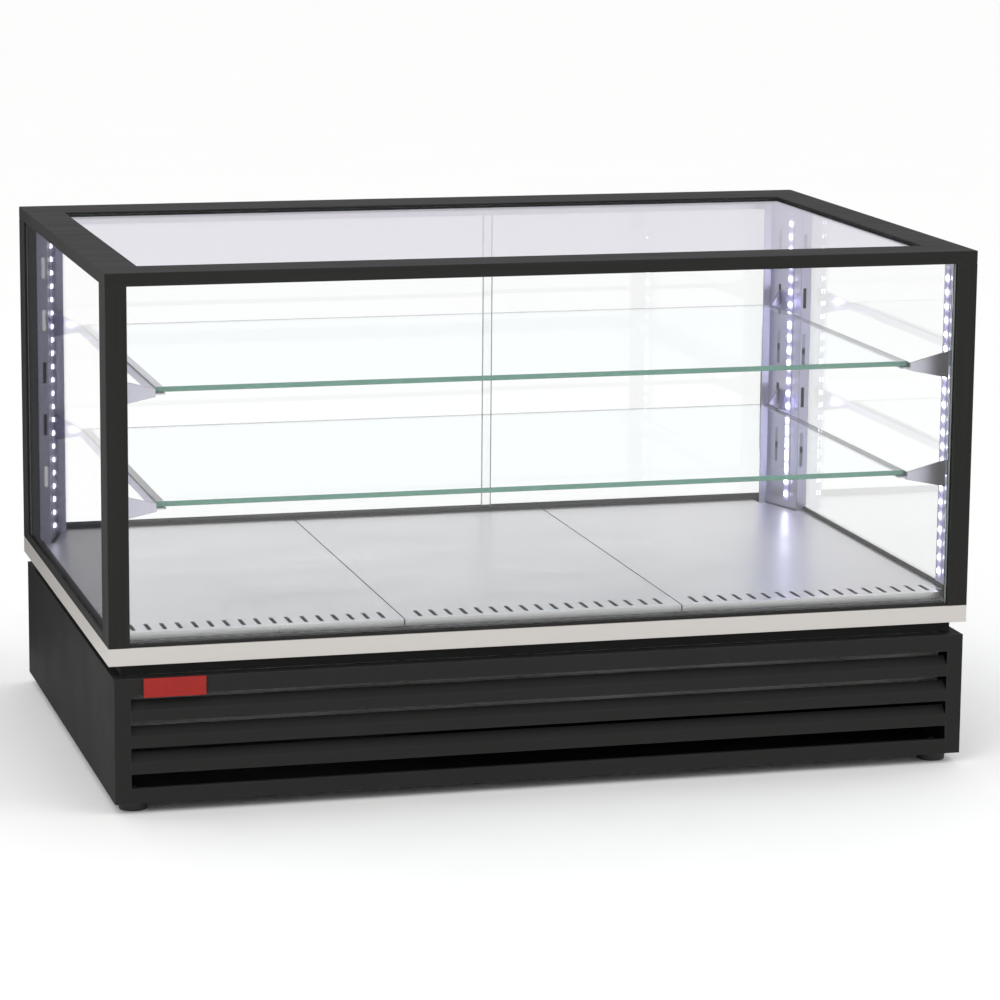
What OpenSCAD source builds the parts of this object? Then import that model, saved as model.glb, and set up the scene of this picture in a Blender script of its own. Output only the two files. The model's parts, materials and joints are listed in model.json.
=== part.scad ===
// Hot food display case: a glazed counter-top cabinet on a black louvred base.
// Millimetres. The origin is the centre of the footprint on the counter.
// +X is to the right of someone facing the front, +Y to the rear, +Z up.

/* [Body] */
// Overall width over the steel belt
case_w = 1020; // [960:10:1100]
// Overall depth over the steel belt
case_d = 650; // [640:5:700]
// Overall height from the counter to the top of the frame
case_h = 610; // [600:5:680]
// Height of the base panels' top edge above the counter
panel_top = 156; // [150:1:160]
// Height of the steel belt's lower edge above the counter
belt_low = 170; // [168:1:176]
// Height of the steel belt itself
belt_h = 20; // [18:1:24]
// How far the base's front and rear panels stand proud of the belt
panel_proud = 4; // [2:1:8]

/* [Glazed frame] */
// Width of a corner post, seen from the front
post_w = 24; // [22:1:30]
// Depth of a corner post, seen from the side
post_d = 40; // [30:1:44]
// Height of the top frame
cap_h = 15; // [14:1:20]
// Width of the top frame's side bars
cap_side = 46; // [44:1:60]
// Width of the top frame's front bar
cap_front = 58; // [50:1:70]
// Width of the top frame's rear bar
cap_rear = 76; // [74:1:90]
// Thickness of the fixed panes and of the shelves
pane_t = 6; // [5:1:6]
// Thickness of the sliding doors
door_t = 5; // [4:1:6]
// Where the two sliding doors meet, measured from the middle
door_meet = 93; // [-100:1:100]

/* [Shelves] */
// Height of the lower shelf's top face
shelf_low = 345; // [330:5:350]
// Pitch of the hanging slots in the uprights
slot_pitch = 65; // [60:1:70]
// Depth of a glass shelf
shelf_d = 486; // [430:1:486]
// Gap between the side frame and the end of a shelf
shelf_gap = 40; // [38:1:60]

/* [Floor] */
// Height of the floor plates' top face
floor_z = 202; // [200:1:204]
// Number of air slots along the front edge of each plate
plate_slots = 17; // [12:1:17]

/* [Base grille] */
// Height of one louvre blade's front face
slat_h = 13.5; // [12:0.5:14]
// Height of the opening under each blade
slat_gap = 16.5; // [14:0.5:17]
// Height of the grille's bottom bar
bottom_bar = 17.5; // [14:0.5:18]

/* [Lighting] */
// Spacing of the light chips along a strip
chip_pitch = 16.7; // [14:0.1:20]

/* [Hidden] */
$fn = 48;

// Colours
black = [0.1, 0.1, 0.1];
steel = [0.75, 0.74, 0.72];
alloy = [0.82, 0.83, 0.85];
clear = [0.8, 0.95, 0.92, 0.35];
white = [0.95, 0.95, 0.95];
red = [0.6, 0.1, 0.06];
copper = [0.45, 0.4, 0.36];

// Whole body
cut = 1;
half_w = case_w / 2;
half_d = case_d / 2;
inner_x = half_w - post_w;
rail_x = half_w - 13;
belt_top = belt_low + belt_h;
cap_low = case_h - cap_h;

// Base
foot_h = 12;
foot_r = 18;
foot_toe_r = 16;
stud_r = 4;
stud_h = 14;
foot_x = half_w - 30;
foot_y = half_d - 25;
sheet = 2;
base_x = half_w - 5;
base_y = half_d + panel_proud;
return_d = 18;
pan_h = 14;
pan_x = base_x - sheet;
pan_y = base_y - return_d;
flange_x = inner_x + 1;
spacer_in = 15;
spacer_t = 8;
slat_count = 3;
window_x = inner_x;
window_low = foot_h + bottom_bar;
slat_pitch = slat_h + slat_gap;
window_h = slat_count * slat_pitch + slat_gap;
blade_d = 12;
blade_rise = 10;
badge_w = 71;
badge_h = 22;
badge_t = 2;
badge_x = -half_w + 38;

// Well, deck and floor plates
well_t = 1.2;
well_low = 95;
well_front = -half_d + post_w;
well_rear = half_d - 131;
deck_top = belt_top + well_t;
ledge_d = 15;
plate_t = 1.5;
plate_count = 3;
plate_low = floor_z - plate_t;
plate_front = -half_d + 27;
plate_rear = half_d - post_w - 1;
plate_play = 0.8;
plate_pitch = 2 * rail_x / plate_count;
notch_gap = 1;
lip_h = 8;
plate_slot_w = 5;
plate_slot_l = 32;
plate_slot_in = 10;
plate_slot_pitch = 18;
bar_w = 12;
side_bar_w = 6;
side_bar_x = inner_x - 4;

// Panes, posts and rails
post_wall = 2;
front_box_d = 17;
liner_gap = 0.7;
liner_in = 6;
pane_gap = 0.3;
pane_out = 3;
pane_x = half_w - pane_out - pane_t;
rail_seat = 6;
rail_lip_h = 10;
rail_inner_h = 16;
rail_top = belt_top + rail_inner_h;
sill_h = 3;
sill_seat = 1;
sill_front = -half_d + 2;
sill_rear = -half_d + 23;
front_pane_y = -half_d + 5;
groove_h = 5;
cap_skin = 3;
cap_rebate = 6;
opening_x = half_w - cap_side;
opening_front = -half_d + cap_front;
opening_rear = half_d - cap_rear;

// Rear doors
track_front = half_d - post_w;
track_d = post_w;
track_wall = 3;
track_slot = 7;
track_top_h = 12;
track_rise = 4;
track_web = 3;
door_clear = 0.5;
door_overlap = 10;
door_end = inner_x - 1;
door_floor = deck_top + track_web;
front_door_y = track_front + track_wall + (track_slot - door_t) / 2;
rear_door_y = track_front + track_d - track_wall - track_slot + (track_slot - door_t) / 2;
pull_w = 12;
pull_h = 110;
pull_t = 4.5;
pull_in = 1;
pull_wall = 2;
pull_low = case_h / 2 + 10;

// Uprights and lights
upright_t = 1.2;
upright_x = half_w - 10;
front_upright_d = 30;
front_upright_y = -half_d + post_d + 1;
front_upright_h = 3;
rear_upright_y = half_d - 112;
slot_flange = 13;
light_run_x = 19;
light_run_y = 65;
door_flange = 10;
hang_slot_w = 4;
hang_slot_h = 26;
slot_over_shelf = 6.5;
slot_inset = 8;
first_slot = -1;
last_slot = 3;
// Plan outline of a rear upright's inner face, from the pane to the doors, and the steps to its back
light_path = [[upright_x, rear_upright_y], [upright_x - slot_flange, rear_upright_y],
    [upright_x - slot_flange - light_run_x, rear_upright_y + light_run_y],
    [upright_x - slot_flange - light_run_x - door_flange, rear_upright_y + light_run_y]];
light_back = [[0, upright_t], [upright_t, upright_t], [upright_t, upright_t], [0, upright_t]];
// Shares of the slanting face's width at which the light strip and the shelf supports are fixed
strip_share = 0.33;
hang_share = 0.7;
board_w = 10;
board_t = 1.2;
board_low = rail_top + 6;
board_high = cap_low - 10;
chip_w = 5;
chip_t = 1.4;
strip_depth = board_t + chip_t;
chip_count = floor((board_high - board_low) / chip_pitch);
front_board_y = front_upright_y + 17;

// Shelves and their supports
shelf_step = 2;
shelf_x = inner_x - shelf_gap;
shelf_front = -half_d + 53;
shelf_rear = shelf_front + shelf_d;
shelf_high = shelf_low + shelf_step * slot_pitch;
support_t = 1.5;
plate_tab_t = 2;
seat_w = 10;
web_x = shelf_x + 1;
web_low = 10;
web_high = 1;
bracket_low = 20;
bracket_high = 12;
tab_low = 6;
hook_drop = 4;
hook_t = 1.4;
front_tab_y = front_upright_y + 4;
front_slot_y = front_tab_y + plate_tab_t / 2;
slot_floor = 1.5;
support_rear = shelf_rear + 4;
// The rear end plate runs slantwise from the web's end to its slot in the light face
turn = [web_x + support_t / 2, support_rear - 1];
hang_point = light_path[1] + hang_share * (light_path[2] - light_path[1]);
turn_angle = atan2(hang_point[1] - turn[1], hang_point[0] - turn[0]);
turn_reach = norm(hang_point - turn);
turn_gap = 2;
turn_hook = 3.2;

// Heaters and fans
heater_r = 4;
heater_z = 150;
heater_leg = 30;
heater_front = well_front + 61;
heater_bend = well_rear - 124;
bulkhead_y = well_rear - 84;
bulkhead_t = 1.5;
fan_w = 92;
fan_d = 25;
fan_x = inner_x / plate_count;
fan_z = well_low + well_t + 2 + fan_w / 2;
fan_duct_r = 43.5;
fan_blade_r = 41;
fan_hub_r = 17.5;
fan_blades = 7;
fan_blade_t = 2;
fan_blade_w = 17;
fan_blade_tilt = 38;
strut_w = 5;
strut_t = 4;
shaft_r = 2;
bore_gap = 0.05;

// Rear controls
box_x0 = 215;
box_x1 = 455;
box_z0 = 40;
box_z1 = 140;
box_t = 1.5;
box_d = 27;
face_y = base_y - sheet - box_d + box_t;
control_z = 90;
gland_x = 237;
main_x = 275;
light_x = 313;
display_x = 365;
knob_x = 427;
switch_w = 20;
switch_h = 25;
switch_d = 18;
bezel_w = 24;
bezel_h = 32;
bezel_t = 2;
rocker_w = 16;
rocker_tilt = 8;
rocker_depth = 2.5;
rocker_play = 0.4;
pivot_r = 1.5;
knob_r = 17;
knob_d = 18;
spindle_r = 3;
thermostat_w = 40;
thermostat_d = 30;
display_w = 58;
display_h = 28;
gland_r = 9;
gland_bore_r = 4.5;
vent_w = 60;
vent_h = 6;
vent_pitch_x = 75;
vent_pitch_z = 18;
screw_xs = [-0.94, -0.32, 0.32, 0.94];
screw_r = 2;
screw_head_r = 4;
screw_head_t = 2;

// --- helpers ---

// A block given by its limits along X, Y and Z.
module span(x, y, z)
    translate([x[0], y[0], z[0]])
        cube([x[1] - x[0], y[1] - y[0], z[1] - z[0]]);

// The right-hand version of a part, or its mirror image on the left.
module on_side(side)
    mirror([side < 0 ? 1 : 0, 0, 0])
        children();

// A flat outline in (Y, Z) drawn out along X between two limits.
module along_x(x)
    translate([x[0], 0, 0])
        rotate([90, 0, 90])
            linear_extrude(height = x[1] - x[0])
                children();

// A flat outline in (X, Z) drawn out along Y between two limits.
module along_y(y)
    translate([0, y[1], 0])
        rotate([90, 0, 0])
            linear_extrude(height = y[1] - y[0])
                children();

// A round bar along +Y that starts at the origin.
module rod_y(r, len)
    rotate([-90, 0, 0])
        cylinder(r = r, h = len);

// Height of the middle of one hanging slot.
function slot_z(i) = shelf_low + slot_over_shelf + i * slot_pitch;

// --- base ---

module at_feet()
    for (x = [-foot_x, foot_x], y = [-foot_y, foot_y])
        translate([x, y, 0])
            children();

module base_pan()
    color(black)
        difference() {
            span([-pan_x, pan_x], [-pan_y, pan_y], [foot_h, foot_h + pan_h]);
            span([sheet - pan_x, pan_x - sheet], [sheet - pan_y, pan_y - sheet],
                [foot_h + sheet, foot_h + pan_h + cut]);
            at_feet()
                cylinder(r = stud_r + bore_gap, h = foot_h + pan_h);
        }

module base_side(side)
    color(black)
        on_side(side) {
            span([pan_x, base_x], [-pan_y, pan_y], [foot_h, panel_top]);
            span([flange_x, base_x], [-pan_y, pan_y], [panel_top - sheet, panel_top]);
        }

module base_side_left() base_side(-1);

module base_side_right() base_side(1);

// A pressed panel with a return flange all round, standing at the front of the base.
module pressed_panel()
    difference() {
        span([-base_x, base_x], [-base_y, return_d - base_y], [foot_h, panel_top]);
        span([sheet - base_x, base_x - sheet], [sheet - base_y, return_d + cut - base_y],
            [foot_h + sheet, panel_top - sheet]);
    }

module rear_panel()
    color(black)
        difference() {
            mirror([0, 1, 0])
                pressed_panel();
            span([box_x0 + box_t, box_x1 - box_t], [base_y - sheet - cut, base_y + cut],
                [box_z0 + box_t, box_z1 - box_t]);
            for (i = [0:5], j = [-2:2])
                translate([-half_w + 60 + i * vent_pitch_x, 0, control_z + j * vent_pitch_z - vent_h / 2])
                    span([0, vent_w], [base_y - sheet - cut, base_y + cut], [0, vent_h]);
            at_screws()
                rod_y(screw_r + bore_gap, 2 * return_d);
        }

module grille_frame()
    color(black)
        difference() {
            pressed_panel();
            span([-window_x, window_x], [-base_y - cut, sheet + cut - base_y],
                [window_low, window_low + window_h]);
        }

// Each blade has an upright face in the window and a fin that slopes up and back behind it.
module grille_slats()
    color(black)
        for (i = [1:slat_count])
            translate([0, -base_y, window_low + i * slat_pitch - slat_h])
                along_x([-window_x, window_x])
                    polygon([[0, 0], [0, slat_h], [blade_d, slat_h + blade_rise],
                        [blade_d, slat_h + blade_rise - sheet], [sheet, slat_h - sheet], [sheet, 0]]);

module badge_plate()
    color(red)
        span([badge_x, badge_x + badge_w], [-base_y - badge_t, -base_y], [panel_top - badge_h, panel_top]);

module feet()
    color(black)
        at_feet()
            rotate_extrude()
                polygon([[0, 0], [foot_toe_r, 0], [foot_r, foot_h], [stud_r, foot_h],
                    [stud_r, foot_h + stud_h], [0, foot_h + stud_h]]);

// A ring in plan, given by its outer half sizes and the width of its bars.
module ring(x, y, bar, z)
    difference() {
        span([-x, x], [-y, y], z);
        span([bar - x, x - bar], [bar - y, y - bar], [z[0] - cut, z[1] + cut]);
    }

module spacer_frame()
    color(black)
        ring(half_w - spacer_in, half_d - spacer_in, spacer_t, [panel_top, belt_low]);

// A folded channel, open underneath.
module belt_trim()
    color(steel)
        difference() {
            ring(half_w, half_d, post_w, [belt_low, belt_top]);
            ring(half_w - sheet, half_d - sheet, post_w - 2 * sheet, [belt_low - cut, belt_top - sheet]);
        }

// --- well, deck and floor plates ---

module well()
    color(steel) {
        difference() {
            span([-inner_x, inner_x], [well_front, well_rear], [well_low, belt_top]);
            span([well_t - inner_x, inner_x - well_t], [well_front + well_t, well_rear - well_t],
                [well_low + well_t, belt_top + cut]);
        }
        span([-inner_x, inner_x], [well_front, well_front + ledge_d], [belt_top, deck_top]);
    }

// The bars that carry the edges of the floor plates: an inverted U in section.
module plate_bars()
    color(steel)
        for (i = [0:plate_count]) {
            outer = i == 0 || i == plate_count;
            half_bar = (outer ? side_bar_w : bar_w) / 2;
            x = i == 0 ? -side_bar_x : outer ? side_bar_x : i * plate_pitch - rail_x;
            translate([x, 0, 0])
                difference() {
                    span([-half_bar, half_bar], [well_front + 11, outer ? well_rear : plate_rear - 4],
                        [deck_top, plate_low]);
                    span([well_t - half_bar, half_bar - well_t], [well_front, plate_rear],
                        [deck_top - cut, plate_low - well_t]);
                }
        }

module rear_deck()
    color(steel)
        span([-inner_x, inner_x], [well_rear - 2, half_d - post_w], [belt_top, deck_top]);

module air_slot()
    linear_extrude(height = 2 * lip_h)
        for (end = [-1, 1]) {
            translate([0, end * (plate_slot_l - plate_slot_w) / 2])
                circle(d = plate_slot_w);
            square([plate_slot_w, plate_slot_l - plate_slot_w], center = true);
        }

// The room that the outer plates leave for a front post, the uprights and their light strips.
module plate_corners() {
    span([inner_x - plate_play, half_w], [-half_d, post_d + plate_play - half_d], [belt_top, floor_z + cut]);
    span([rail_x - strip_depth - plate_play, half_w],
        [-half_d, front_upright_y + front_upright_d + plate_play], [belt_top, floor_z + cut]);
    translate([0, 0, belt_top])
        linear_extrude(height = floor_z)
            polygon([[half_w, half_d], [half_w, rear_upright_y - notch_gap],
                light_path[1] - [notch_gap + strip_depth, notch_gap],
                light_path[2] - [notch_gap + strip_depth, notch_gap],
                light_path[3] - [notch_gap, notch_gap], [light_path[3][0] - notch_gap, half_d]]);
}

// One loose plate; index 0 is the left one.
module floor_plate(index)
    color(steel) {
        x0 = -rail_x + index * plate_pitch + plate_play;
        x1 = x0 + plate_pitch - 2 * plate_play;
        difference() {
            union() {
                span([x0, x1], [plate_front, plate_rear], [plate_low, floor_z]);
                span([x0, x1], [plate_front, plate_front + plate_t], [floor_z - lip_h, floor_z]);
                span([x0, x1], [plate_rear - plate_t, plate_rear], [floor_z - lip_h, floor_z]);
            }
            for (i = [0:plate_slots - 1])
                translate([(x0 + x1) / 2 + (i - (plate_slots - 1) / 2) * plate_slot_pitch,
                        plate_front + plate_slot_in + plate_slot_l / 2, plate_low - cut])
                    air_slot();
            for (side = [-1, 1])
                on_side(side)
                    plate_corners();
        }
    }

module floor_plate_left() floor_plate(0);

module floor_plate_centre() floor_plate(1);

module floor_plate_right() floor_plate(2);

// --- glazed frame ---

module front_sill()
    color(black)
        difference() {
            span([pane_gap - inner_x, inner_x - pane_gap], [sill_front, sill_rear],
                [belt_top, belt_top + sill_h]);
            span([-inner_x, inner_x], [front_pane_y - pane_gap, front_pane_y + pane_t + pane_gap],
                [belt_top + sill_seat, belt_top + sill_h + cut]);
        }

// A hollow box of the given depth, standing behind the front face of a corner.
module post_box(depth)
    difference() {
        span([inner_x, half_w], [-half_d, depth - half_d], [belt_top, cap_low]);
        span([inner_x + post_wall, half_w - post_wall], [post_wall - half_d, depth - post_wall - half_d],
            [belt_top - cut, cap_low + cut]);
    }

// A front post: a box with a flange that covers the edge of the side pane.
module post_front(side)
    color(black)
        on_side(side) {
            post_box(front_box_d);
            span([pane_x + pane_t + pane_gap, half_w], [front_box_d - cut - half_d, post_d - half_d],
                [belt_top, cap_low]);
        }

module post_front_left() post_front(-1);

module post_front_right() post_front(1);

module post_rear(side)
    color(black)
        on_side(side)
            mirror([0, 1, 0])
                post_box(post_d);

module post_rear_left() post_rear(-1);

module post_rear_right() post_rear(1);

// Strips that line the side panes from the rear uprights to the rear posts.
module pane_liners()
    color(black)
        for (side = [-1, 1])
            on_side(side)
                span([rail_x + liner_gap, pane_x - pane_gap], [rear_upright_y + liner_in, half_d - post_d],
                    [rail_top, cap_low]);

// The low rail under a side pane: an outer lip, a seat for the pane and a taller inner step.
module side_rail(side)
    color(black)
        on_side(side)
            along_y([post_d - half_d, half_d - post_d])
                polygon([[rail_x, belt_top], [half_w, belt_top], [half_w, belt_top + rail_lip_h],
                    [half_w - pane_out + pane_gap, belt_top + rail_lip_h],
                    [half_w - pane_out + pane_gap, belt_top + rail_seat],
                    [pane_x - pane_gap, belt_top + rail_seat], [pane_x - pane_gap, rail_top],
                    [rail_x, rail_top]]);

module side_rail_left() side_rail(-1);

module side_rail_right() side_rail(1);

module cap_frame()
    color(black)
        difference() {
            span([-half_w, half_w], [-half_d, half_d], [cap_low, case_h]);
            span([-opening_x, opening_x], [opening_front, opening_rear], [cap_low - cut, case_h + cut]);
            span([-opening_x - cap_rebate, opening_x + cap_rebate],
                [opening_front - cap_rebate, opening_rear + cap_rebate], [cap_low - cut, case_h - cap_skin]);
            for (side = [-1, 1])
                on_side(side)
                    span([pane_x - pane_gap, pane_x + pane_t + pane_gap], [post_d - half_d, half_d - post_d],
                        [cap_low - cut, cap_low + groove_h]);
            span([-inner_x, inner_x], [front_pane_y - pane_gap, front_pane_y + pane_t + pane_gap],
                [cap_low - cut, cap_low + groove_h]);
        }

module glass_top()
    color(clear)
        span([0.5 - opening_x - cap_rebate, opening_x + cap_rebate - 0.5],
            [opening_front - cap_rebate + 0.5, opening_rear + cap_rebate - 0.5],
            [case_h - cap_skin - pane_t, case_h - cap_skin]);

module glass_front()
    color(clear)
        span([pane_gap - inner_x, inner_x - pane_gap], [front_pane_y, front_pane_y + pane_t],
            [belt_top + sill_seat, cap_low + groove_h - pane_gap]);

module glass_side(side)
    color(clear)
        on_side(side)
            span([pane_x, pane_x + pane_t], [post_d + pane_gap - half_d, half_d - post_d - pane_gap],
                [belt_top + rail_seat, cap_low + groove_h - pane_gap]);

module glass_left() glass_side(-1);

module glass_right() glass_side(1);

// --- rear doors ---

// A double channel; slots are cut from slot_low to slot_high.
module door_track(z, slot_low, slot_high)
    difference() {
        span([pane_gap - inner_x, inner_x - pane_gap], [track_front, track_front + track_d], z);
        for (y = [track_front + track_wall, track_front + track_d - track_wall - track_slot])
            span([-half_w, half_w], [y, y + track_slot], [slot_low, slot_high]);
    }

module door_track_top()
    color(alloy)
        door_track([cap_low - track_top_h, cap_low], cap_low - track_top_h - cut, cap_low - track_web);

module door_track_bottom()
    color(black)
        door_track([belt_top, floor_z + track_rise], door_floor, floor_z + track_rise + cut);

module door_pane(x, y)
    color(clear)
        span(x, [y, y + door_t], [door_floor + door_clear, cap_low - track_web - 2 * door_clear]);

// The left door runs in the front groove and the right door in the rear one.
module door_left() door_pane([-door_end, door_meet + door_overlap / 2], front_door_y);

module door_right() door_pane([door_meet - door_overlap / 2, door_end], rear_door_y);

// A shallow finger pull bonded to a door's rear face.
module door_pull(x, y)
    color(black)
        difference() {
            span([x, x + pull_w], [y, y + pull_t], [pull_low, pull_low + pull_h]);
            span([x + pull_wall, x + pull_w - pull_wall], [y + pull_wall, y + pull_t + cut],
                [pull_low + 2 * pull_wall, pull_low + pull_h - 2 * pull_wall]);
        }

module door_pull_left() door_pull(-door_end + pull_in, front_door_y + door_t);

module door_pull_right() door_pull(door_end - pull_in - pull_w, rear_door_y + door_t);

// --- uprights and lights ---

module hang_slots(x, y)
    for (i = [first_slot:last_slot])
        span(x, y, [slot_z(i) - hang_slot_h / 2, slot_z(i) + hang_slot_h / 2]);

// A shallow channel against the side pane, with its slots beside the front post.
module upright_front(side)
    color(steel)
        on_side(side)
            difference() {
                span([upright_x - front_upright_h, upright_x],
                    [front_upright_y, front_upright_y + front_upright_d], [rail_top, cap_low]);
                span([upright_x - front_upright_h + upright_t, upright_x + cut],
                    [front_upright_y + upright_t, front_upright_y + front_upright_d - upright_t],
                    [rail_top - cut, cap_low + cut]);
                hang_slots([upright_x - front_upright_h - cut, upright_x - slot_floor],
                    [front_slot_y - hang_slot_w / 2, front_slot_y + hang_slot_w / 2]);
            }

module upright_front_left() upright_front(-1);

module upright_front_right() upright_front(1);

// A folded sheet: a slotted flange by the pane, a slanting light face with the slots for the
// supports and a flange by the doors. It stands on the deck, beside the rail.
module upright_rear(side)
    color(steel)
        on_side(side)
            difference() {
                translate([0, 0, deck_top])
                    linear_extrude(height = cap_low - deck_top)
                        polygon(concat(light_path, [for (i = [3:-1:0]) light_path[i] + light_back[i]]));
                translate([upright_x - slot_inset, rear_upright_y, 0])
                    hang_slots([-hang_slot_w / 2, hang_slot_w / 2], [-cut, upright_t + cut]);
                translate(hang_point)
                    rotate([0, 0, turn_angle])
                        hang_slots([-2 * hang_slot_w, 2 * hang_slot_w], [-hang_slot_w / 2, hang_slot_w / 2]);
                span([rail_x - plate_play, half_w], [rear_upright_y - cut, half_d], [belt_top, rail_top]);
            }

module upright_rear_left() upright_rear(-1);

module upright_rear_right() upright_rear(1);

// Puts a strip's own frame on the four uprights: +X out of the lit face, Y across the strip.
module at_strips()
    for (side = [-1, 1])
        on_side(side) {
            translate([upright_x - front_upright_h, front_board_y, board_low])
                rotate([0, 0, 180])
                    children();
            translate(concat(light_path[1] + strip_share * (light_path[2] - light_path[1]), board_low))
                rotate([0, 0, 180 + atan2(light_run_x, light_run_y)])
                    children();
        }

module led_boards()
    color(white)
        at_strips()
            span([0, board_t], [-board_w / 2, board_w / 2], [0, board_high - board_low]);

module led_chips()
    color([1, 1, 0.9])
        at_strips()
            for (i = [0:chip_count - 1])
                translate([board_t, -chip_w / 2, (i + 0.5) * chip_pitch - chip_w / 2])
                    cube([chip_t, chip_w, chip_w]);

// --- shelves ---

// A plate across the end of a support, tapering from the tall side at x[1] to the shelf side at x[0].
module end_plate(x, y, top)
    along_y([y, y + plate_tab_t])
        polygon([[x[0], top - web_low], [x[1], top - bracket_low], [x[1], top + bracket_high],
            [x[0], top - web_high]]);

// One support: a seat and a web along the shelf's end, with a hooked plate at each upright.
module support(side, top)
    on_side(side) {
        pane_side = upright_x - front_upright_h;
        span([shelf_x - seat_w, web_x + support_t], [front_tab_y, support_rear],
            [top - pane_t - support_t, top - pane_t]);
        span([web_x, web_x + support_t], [front_tab_y, support_rear], [top - web_low, top - web_high]);
        end_plate([web_x, pane_side - 2], front_tab_y, top);
        span([pane_side - 2 - cut, upright_x], [front_tab_y, front_tab_y + plate_tab_t],
            [top - tab_low, top + bracket_high]);
        span([upright_x - hook_t, upright_x], [front_tab_y, front_tab_y + plate_tab_t],
            [top - tab_low - hook_drop, top]);
        translate(turn)
            rotate([0, 0, turn_angle]) {
                end_plate([0, turn_reach - turn_gap], -plate_tab_t / 2, top);
                span([turn_reach - turn_gap - cut, turn_reach + turn_hook + hook_t],
                    [-plate_tab_t / 2, plate_tab_t / 2], [top - tab_low, top + bracket_high]);
                span([turn_reach + turn_hook, turn_reach + turn_hook + hook_t],
                    [-plate_tab_t / 2, plate_tab_t / 2], [top - tab_low - hook_drop, top]);
            }
    }

module supports(top)
    color(steel)
        for (side = [-1, 1])
            support(side, top);

module supports_upper() supports(shelf_high);

module supports_lower() supports(shelf_low);

module shelf(top)
    color(clear)
        span([-shelf_x, shelf_x], [shelf_front, shelf_rear], [top - pane_t, top]);

module shelf_upper() shelf(shelf_high);

module shelf_lower() shelf(shelf_low);

// --- heaters and fans ---

module half_turn()
    rotate_extrude(angle = 180)
        translate([heater_leg, 0])
            circle(r = heater_r);

// A bent tube of four legs; its two outer legs end behind the bulkhead.
module heater()
    translate([0, 0, heater_z]) {
        for (side = [-1, 1]) {
            translate([side * 3 * heater_leg, heater_front, 0])
                rod_y(heater_r, bulkhead_y + 15 - heater_front);
            translate([side * heater_leg, heater_front, 0])
                rod_y(heater_r, heater_bend - heater_front);
            translate([side * 2 * heater_leg, heater_front, 0])
                rotate([0, 0, 180])
                    half_turn();
        }
        translate([0, heater_bend, 0])
            half_turn();
    }

module at_plates()
    for (i = [0:plate_count - 1])
        translate([(i + 0.5) * plate_pitch - rail_x, 0, 0])
            children();

module heaters()
    color(copper)
        at_plates()
            heater();

module fan_bulkhead()
    color(steel)
        difference() {
            span([well_t - inner_x, inner_x - well_t], [bulkhead_y, bulkhead_y + bulkhead_t],
                [well_low + well_t, belt_top]);
            for (side = [-1, 1])
                translate([side * fan_x, bulkhead_y - cut, fan_z])
                    rod_y(fan_duct_r, bulkhead_t + 2 * cut);
            at_plates()
                for (side = [-1, 1])
                    translate([side * 3 * heater_leg, bulkhead_y - cut, heater_z])
                        rod_y(heater_r + bore_gap, bulkhead_t + 2 * cut);
        }

module at_fan(side)
    translate([side * fan_x, bulkhead_y + bulkhead_t, fan_z])
        children();

// The square outline of a fan housing with its round duct.
module duct_outline()
    difference() {
        square([fan_w, fan_w], center = true);
        circle(r = fan_duct_r);
    }

// The housing's hub is carried on four struts and holds the shaft's bearing.
module fan_frames()
    color(black)
        for (side = [-1, 1])
            at_fan(side) {
                along_y([0, fan_d - strut_t])
                    duct_outline();
                along_y([fan_d - strut_t, fan_d])
                    difference() {
                        union() {
                            duct_outline();
                            circle(r = fan_hub_r);
                            square([strut_w, fan_w], center = true);
                            square([fan_w, strut_w], center = true);
                        }
                        circle(r = shaft_r + bore_gap);
                    }
            }

// Seven tilted blades on a hub; the shaft runs in the housing's bearing.
module impeller(side)
    color(black)
        at_fan(side) {
            translate([0, 3, 0])
                rod_y(fan_hub_r, fan_d - strut_t - 4);
            rod_y(shaft_r, fan_d - 0.5);
            for (i = [0:fan_blades - 1])
                rotate([0, i * 360 / fan_blades, 0])
                    translate([0, fan_d / 2 - 2, 0])
                        rotate([fan_blade_tilt, 0, 0])
                            intersection() {
                                span([fan_hub_r - 3, fan_blade_r], [-fan_blade_t / 2, fan_blade_t / 2],
                                    [-fan_blade_w / 2, fan_blade_w / 2]);
                                translate([0, -fan_blade_t, 0])
                                    rod_y(fan_blade_r, 2 * fan_blade_t);
                            }
        }

module impeller_left() impeller(-1);

module impeller_right() impeller(1);

// --- rear controls ---

// A recess in the rear panel that keeps the switches and the knob inside the base's outline.
module control_box()
    color(black)
        difference() {
            span([box_x0, box_x1], [face_y - box_t, base_y - sheet], [box_z0, box_z1]);
            span([box_x0 + box_t, box_x1 - box_t], [face_y, base_y], [box_z0 + box_t, box_z1 - box_t]);
            for (x = [main_x, light_x])
                span([x - switch_w / 2, x + switch_w / 2], [0, half_d],
                    [control_z - switch_h / 2, control_z + switch_h / 2]);
            span([display_x - display_w / 2 + 2, display_x + display_w / 2 - 2], [0, half_d],
                [control_z - display_h / 2 + 2, control_z + display_h / 2 - 2]);
            translate([knob_x, 0, control_z])
                rod_y(spindle_r + 1, half_d);
            translate([gland_x, 0, control_z])
                rod_y(gland_r - 2 + bore_gap, half_d);
        }

module switch_bodies()
    color(black)
        for (x = [main_x, light_x])
            translate([x, face_y, control_z])
                difference() {
                    union() {
                        span([-switch_w / 2, switch_w / 2], [-switch_d, 0], [-switch_h / 2, switch_h / 2]);
                        span([-bezel_w / 2, bezel_w / 2], [0, bezel_t], [-bezel_h / 2, bezel_h / 2]);
                    }
                    span([-rocker_w / 2 - rocker_play, rocker_w / 2 + rocker_play],
                        [-rocker_depth - 5, bezel_t + cut], [-11, 11]);
                    translate([1 - switch_w / 2, -rocker_depth, 0])
                        rotate([0, 90, 0])
                            cylinder(r = pivot_r + bore_gap, h = switch_w - 2);
                }

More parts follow.
